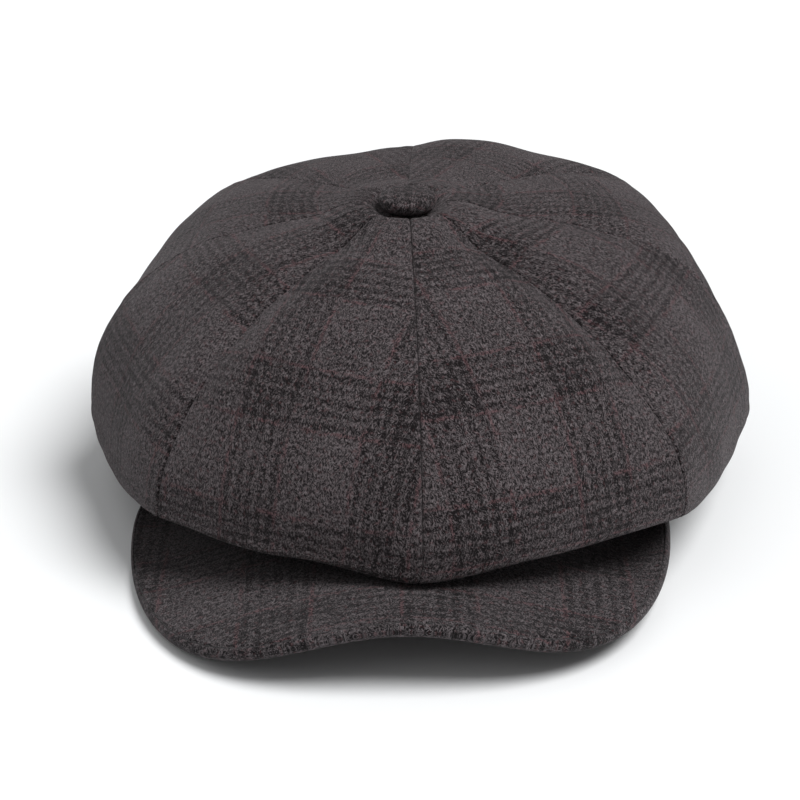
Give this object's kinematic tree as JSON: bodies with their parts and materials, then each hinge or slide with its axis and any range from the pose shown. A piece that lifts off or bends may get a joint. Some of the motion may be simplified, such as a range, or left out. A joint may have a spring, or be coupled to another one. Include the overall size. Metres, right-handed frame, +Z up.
{
  "type": "newsboy cap",
  "caption": "Newsboy cap: a panelled plaid wool crown that bags over a headband, a stiff curved visor, a covered top button, a lining and a sweatband.",
  "frame": {"origin": "the middle of the head opening, on the surface that the cap stands on", "axes": "+Z up; -Y is the front, towards which the visor points; +X is the right of someone who looks at the front"},
  "size_m": [0.2661, 0.315, 0.1305],
  "materials": {
    "wool_crown": "brushed wool cloth, glen plaid, matt with a light fuzz",
    "wool_visor": "brushed wool cloth, glen plaid, matt",
    "wool_visor_under": "brushed wool cloth, glen plaid, matt",
    "wool_band": "brushed wool cloth, glen plaid, matt",
    "wool_button": "brushed wool cloth, matt",
    "stiffener": "stiff woven interlining, matt",
    "board": "moulded polyethylene visor board, matt",
    "button_metal": "pressed tinned steel",
    "thread": "spun polyester sewing thread",
    "patch": "fused non-woven cloth",
    "lining": "plain woven satin, soft sheen",
    "lining_patch": "plain woven cloth",
    "sweatband": "ribbed cotton band, matt"
  },
  "bodies": {
    "root": {"crown_panel_front_right": "wool_crown", "crown_panel_side_front_right": "wool_crown", "crown_panel_side_back_right": "wool_crown", "crown_panel_back_right": "wool_crown", "crown_panel_back_left": "wool_crown", "crown_panel_side_back_left": "wool_crown", "crown_panel_side_front_left": "wool_crown", "crown_panel_front_left": "wool_crown", "headband": "wool_band", "headband_stiffener": "stiffener", "visor_top_cover": "wool_visor", "visor_under_cover": "wool_visor_under", "visor_board": "board", "visor_edge_stitching": "thread", "button_cover": "wool_button", "button_shell": "button_metal", "button_back": "button_metal", "button_tie": "thread", "crown_centre_patch": "patch", "lining_panel_front_right": "lining", "lining_panel_side_front_right": "lining", "lining_panel_side_back_right": "lining", "lining_panel_back_right": "lining", "lining_panel_back_left": "lining", "lining_panel_side_back_left": "lining", "lining_panel_side_front_left": "lining", "lining_panel_front_left": "lining", "lining_centre_patch": "lining_patch", "sweatband": "sweatband", "sweatband_stitching": "thread"}
  },
  "joints": []
}
